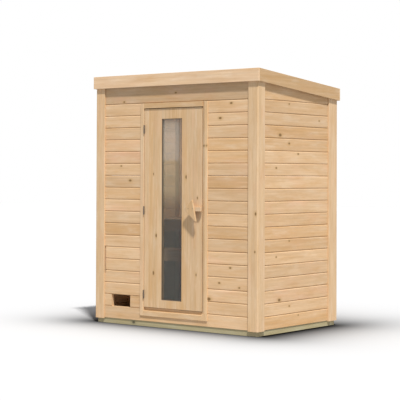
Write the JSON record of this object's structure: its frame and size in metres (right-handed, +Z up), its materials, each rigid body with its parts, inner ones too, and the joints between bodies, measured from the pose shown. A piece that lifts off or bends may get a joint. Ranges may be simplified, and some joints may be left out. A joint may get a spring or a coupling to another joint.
{
  "type": "outdoor sauna cabin",
  "caption": "Small outdoor sauna cabin of solid planks between corner posts, with a glazed side-hung door, a low vent opening and a roof that falls to the rear.",
  "frame": {"origin": "on the ground under the middle of the cabin, at the underside of the middle floor joist", "axes": "+X to the right as seen facing the door, +Y to the rear, +Z up"},
  "size_m": [2.006, 1.388, 2.412],
  "materials": {
    "spruce_boards": "planed, untreated",
    "spruce_joinery": "planed, untreated",
    "inside_wood": "planed, untreated",
    "treated_wood": "pressure treated",
    "door_glass": "clear toughened",
    "hinge_metal": "dark, satin",
    "roof_felt": "mineral felt"
  },
  "bodies": {
    "cabin": {"base_beam_front": "treated_wood", "base_beam_left": "treated_wood", "base_beam_rear": "treated_wood", "base_beam_right": "treated_wood", "bench_ledgers": "inside_wood", "corner_post_front_left": "spruce_boards", "corner_post_front_right": "spruce_boards", "corner_post_rear_left": "spruce_boards", "corner_post_rear_right": "spruce_boards", "door_head": "spruce_joinery", "door_jamb_left": "spruce_joinery", "door_jamb_right": "spruce_joinery", "door_sill": "spruce_joinery", "door_stops": "spruce_joinery", "fascia_front": "spruce_boards", "fascia_left": "spruce_boards", "fascia_rear": "spruce_boards", "fascia_right": "spruce_boards", "floor_boards": "inside_wood", "floor_joists": "treated_wood", "front_wall_left": "spruce_boards", "front_wall_over_door": "spruce_boards", "front_wall_right": "spruce_boards", "front_wall_under_door": "spruce_boards", "front_wall_vent_board": "spruce_boards", "front_wall_vent_foot": "spruce_boards", "hinge_frame_halves": "hinge_metal", "left_wall": "spruce_boards", "lower_bench": "inside_wood", "rear_wall": "spruce_boards", "right_wall": "spruce_boards", "roof_boards": "inside_wood", "roof_felt": "roof_felt", "roof_rafters": "inside_wood", "upper_bench": "inside_wood"},
    "door": {"door_glass": "door_glass", "door_glazing_beads": "spruce_joinery", "door_handle_block": "spruce_joinery", "door_handle_plate": "spruce_joinery", "door_inner_grip": "inside_wood", "door_rail_bottom": "spruce_joinery", "door_rail_top": "spruce_joinery", "door_stile_left": "spruce_joinery", "door_stile_right": "spruce_joinery", "hinge_door_halves": "hinge_metal"}
  },
  "joints": [
    {"name": "door_hinge", "type": "hinge", "parent": "cabin", "child": "door", "pos_m": [-0.36, -0.6625, 1.109], "axis": [0, 0, -1], "range_deg": [0, 105]}
  ]
}
